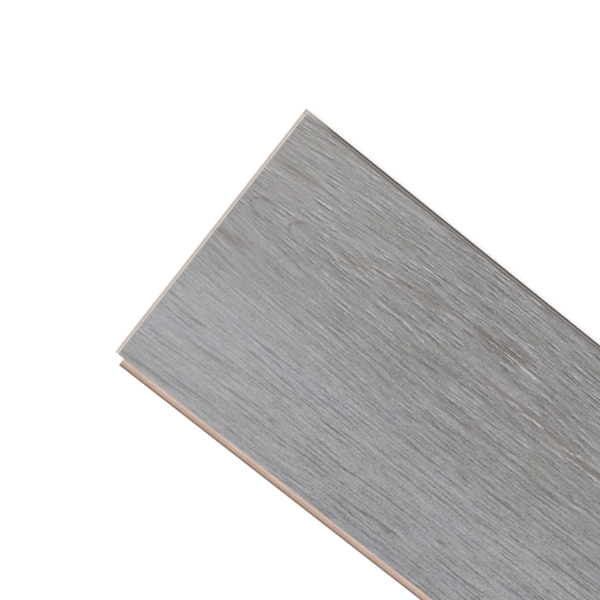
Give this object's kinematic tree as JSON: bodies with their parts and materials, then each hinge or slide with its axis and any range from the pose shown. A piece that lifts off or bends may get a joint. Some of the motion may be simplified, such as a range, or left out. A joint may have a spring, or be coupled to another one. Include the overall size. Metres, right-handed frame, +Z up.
{
  "type": "laminate floor plank",
  "caption": "Flat rectangular laminate floor plank with a grey wood-grain decor face, eased face edges and a click joint milled along its long edges and ends.",
  "frame": {"origin": "on the underside, below the middle of the decor face", "axes": "+X along the length, from the end tongue to the end groove; +Y across the width, from the long groove to the long tongue; +Z up out of the decor face"},
  "size_m": [1.2221, 0.2038, 0.008],
  "materials": {
    "decor": "satin-matt melamine over a printed grey wood grain, lightly embossed",
    "fibreboard": "bare milled high-density fibreboard"
  },
  "bodies": {
    "root": {"decor_layer": "decor", "core_board": "fibreboard"}
  },
  "joints": []
}
